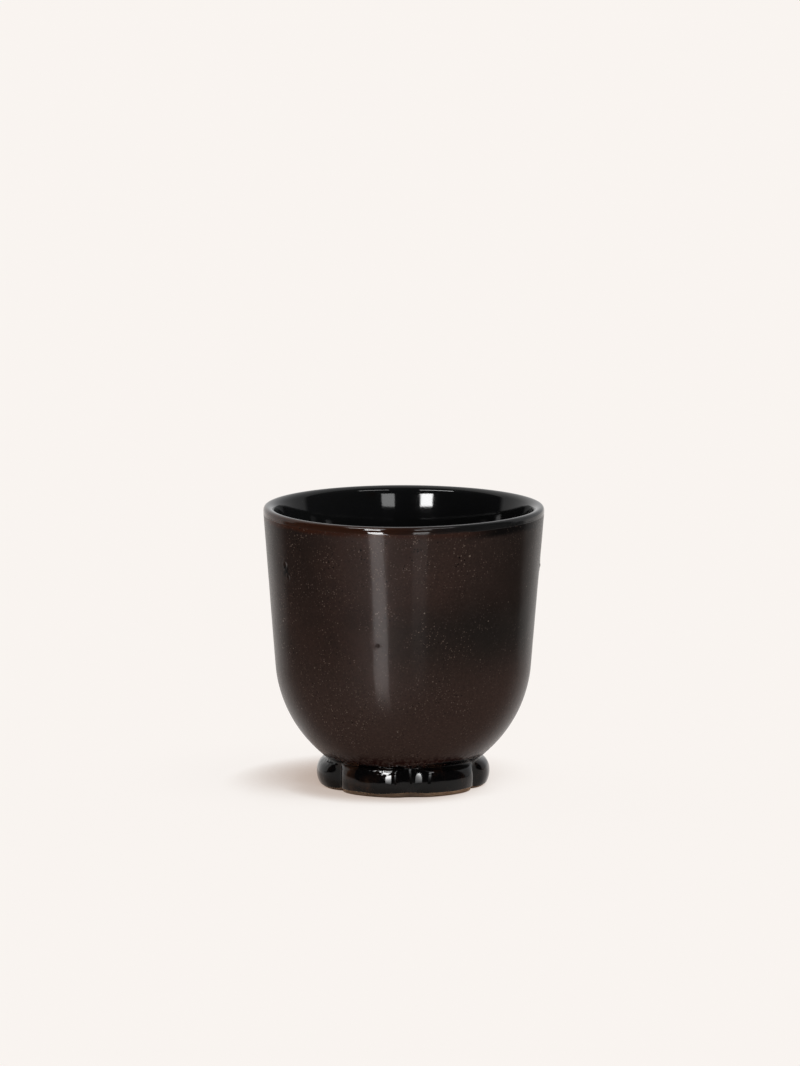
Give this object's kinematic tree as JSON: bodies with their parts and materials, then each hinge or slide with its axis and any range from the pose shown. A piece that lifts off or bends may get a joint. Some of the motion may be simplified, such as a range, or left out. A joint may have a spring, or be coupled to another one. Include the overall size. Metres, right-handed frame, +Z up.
{
  "type": "stoneware cup",
  "caption": "Handleless stoneware cup: round-bottomed bowl, glossy black lining and lip, satin brown speckled outside, lobed black foot on a bare clay ring.",
  "frame": {"origin": "centre of the foot, on the surface that the cup stands on", "axes": "+Z up along the cup's axis of rotation, -Y towards the side that faces the viewer"},
  "size_m": [0.09, 0.09, 0.0906],
  "materials": {
    "bare_clay": "bare fired stoneware, dry and matte",
    "slip": "fired slip, dry and matte",
    "liner_glaze": "glossy black glaze",
    "outer_glaze": "satin dark brown glaze with fine tan speckles",
    "foot_glaze": "glossy black glaze, slightly brown where it is thin"
  },
  "bodies": {
    "root": {"bowl": "bare_clay", "liner_glaze": "liner_glaze", "outer_glaze": "outer_glaze", "slip_seam": "slip", "foot_ring": "bare_clay", "foot_lobe_1": "bare_clay", "foot_lobe_2": "bare_clay", "foot_lobe_3": "bare_clay", "foot_glaze": "foot_glaze"}
  },
  "joints": []
}
